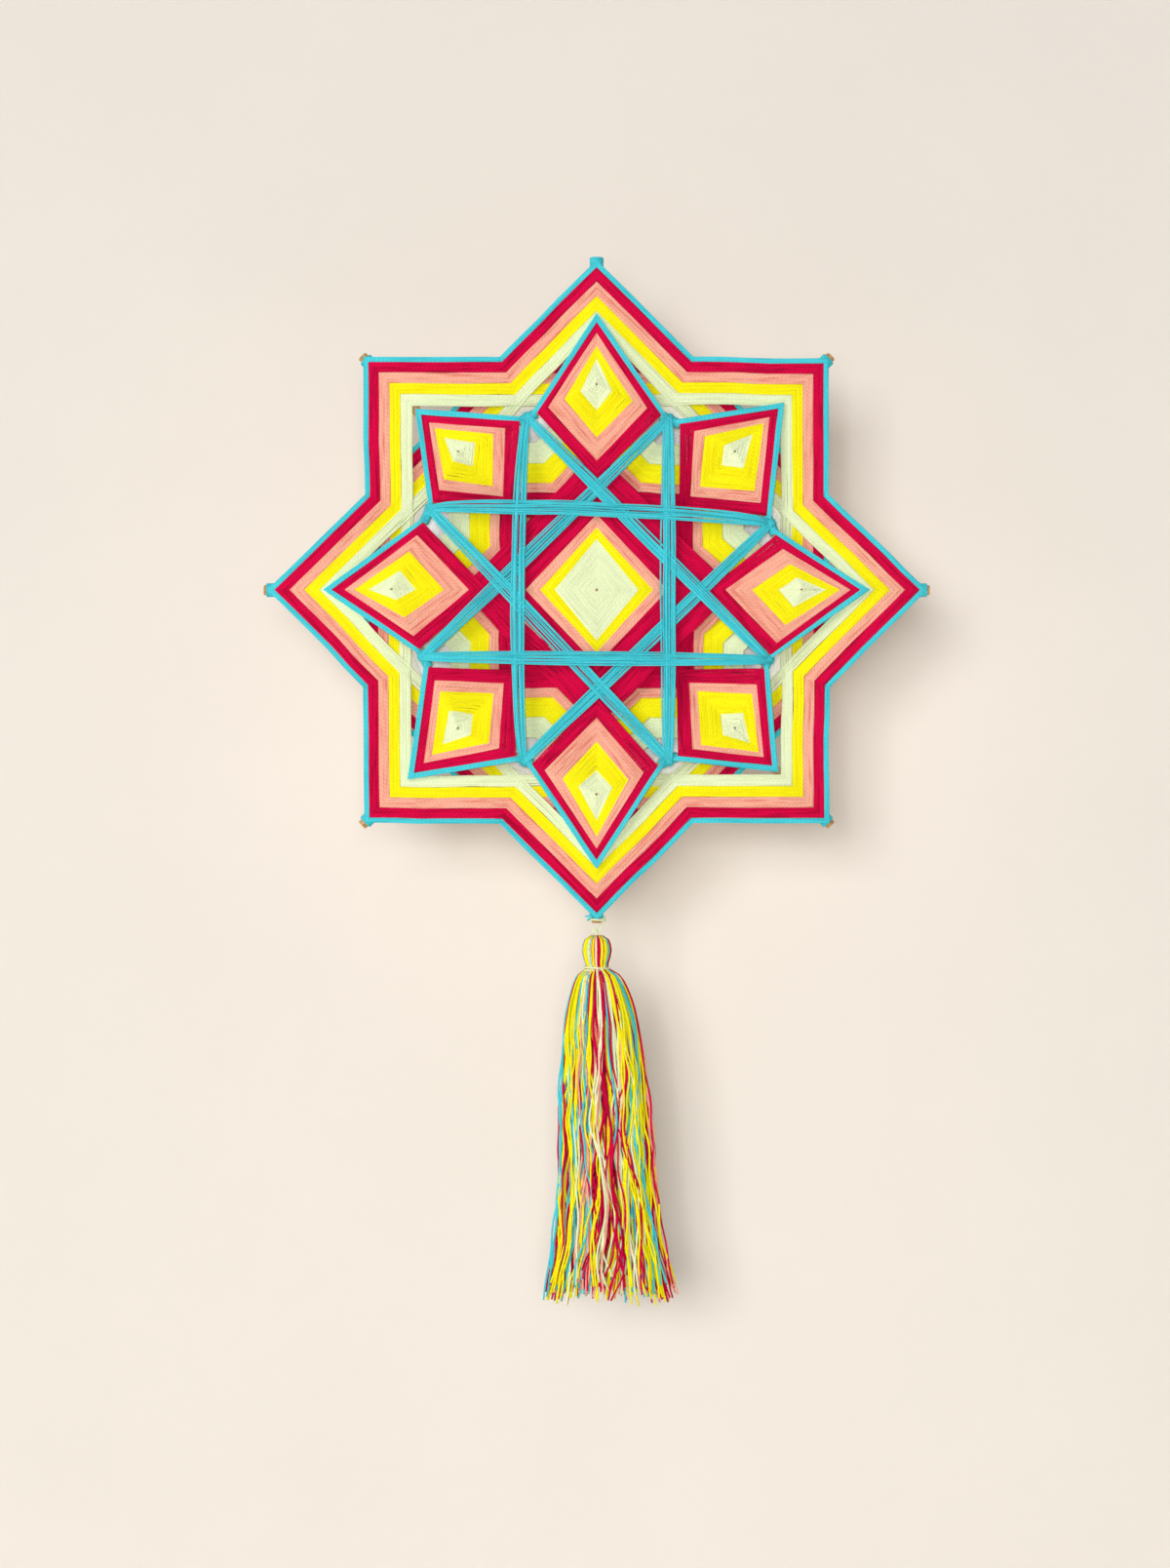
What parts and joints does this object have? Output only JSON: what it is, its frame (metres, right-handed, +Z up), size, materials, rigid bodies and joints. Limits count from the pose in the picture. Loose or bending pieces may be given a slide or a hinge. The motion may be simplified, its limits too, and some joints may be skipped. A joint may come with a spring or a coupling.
{
  "type": "ojo de dios yarn mandala",
  "caption": "Yarn ojo de dios with an interlaced star, a round of kite-shaped eyes, a turquoise thread net and a swinging tassel.",
  "frame": {"origin": "the point behind the top corner where the yarn wraps rest on a wall nail", "axes": "+Z up along the upright stick, +X right, the front faces -Y"},
  "size_m": [0.4, 0.0376, 0.6277],
  "materials": {
    "stick_wood": "plain sawn",
    "yarn_turquoise": "matt yarn",
    "yarn_crimson": "matt yarn",
    "yarn_salmon": "matt yarn",
    "yarn_yellow": "matt yarn",
    "yarn_mint": "matt yarn",
    "yarn_white": "matt yarn",
    "tassel_yarn": "matt yarn in mixed colours"
  },
  "bodies": {
    "frame": {"stick_upright": "stick_wood", "stick_level": "stick_wood", "stick_rising": "stick_wood", "stick_falling": "stick_wood", "short_sticks_top": "stick_wood", "short_sticks_right": "stick_wood", "short_sticks_bottom": "stick_wood", "short_sticks_left": "stick_wood", "outer_star_turquoise": "yarn_turquoise", "outer_star_crimson": "yarn_crimson", "outer_star_salmon": "yarn_salmon", "outer_star_yellow": "yarn_yellow", "outer_star_mint": "yarn_mint", "inner_star_mint": "yarn_mint", "inner_star_yellow": "yarn_yellow", "inner_star_salmon": "yarn_salmon", "inner_star_crimson": "yarn_crimson", "rear_web_white": "yarn_white", "eye_mint": "yarn_mint", "eye_yellow": "yarn_yellow", "eye_salmon": "yarn_salmon", "eye_crimson": "yarn_crimson", "kite_top_mint": "yarn_mint", "kite_top_yellow": "yarn_yellow", "kite_top_salmon": "yarn_salmon", "kite_top_crimson": "yarn_crimson", "kite_upper_right_mint": "yarn_mint", "kite_upper_right_yellow": "yarn_yellow", "kite_upper_right_salmon": "yarn_salmon", "kite_upper_right_crimson": "yarn_crimson", "kite_right_mint": "yarn_mint", "kite_right_yellow": "yarn_yellow", "kite_right_salmon": "yarn_salmon", "kite_right_crimson": "yarn_crimson", "kite_lower_right_mint": "yarn_mint", "kite_lower_right_yellow": "yarn_yellow", "kite_lower_right_salmon": "yarn_salmon", "kite_lower_right_crimson": "yarn_crimson", "kite_bottom_mint": "yarn_mint", "kite_bottom_yellow": "yarn_yellow", "kite_bottom_salmon": "yarn_salmon", "kite_bottom_crimson": "yarn_crimson", "kite_lower_left_mint": "yarn_mint", "kite_lower_left_yellow": "yarn_yellow", "kite_lower_left_salmon": "yarn_salmon", "kite_lower_left_crimson": "yarn_crimson", "kite_left_mint": "yarn_mint", "kite_left_yellow": "yarn_yellow", "kite_left_salmon": "yarn_salmon", "kite_left_crimson": "yarn_crimson", "kite_upper_left_mint": "yarn_mint", "kite_upper_left_yellow": "yarn_yellow", "kite_upper_left_salmon": "yarn_salmon", "kite_upper_left_crimson": "yarn_crimson", "net_turquoise": "yarn_turquoise", "tassel_tie": "yarn_mint"},
    "hanger": {"tassel_link": "yarn_mint"},
    "tassel": {"tassel_hank": "tassel_yarn", "tassel_neck_tie": "yarn_mint"}
  },
  "joints": [
    {"name": "hanger_sway", "type": "hinge", "parent": "frame", "child": "hanger", "pos_m": [0, -0.00315, -0.36136], "axis": [0, 1, 0], "range_deg": [-35, 35]},
    {"name": "tassel_swing", "type": "hinge", "parent": "hanger", "child": "tassel", "pos_m": [0, -0.00315, -0.36456], "axis": [1, 0, 0], "range_deg": [-45, 45]}
  ]
}
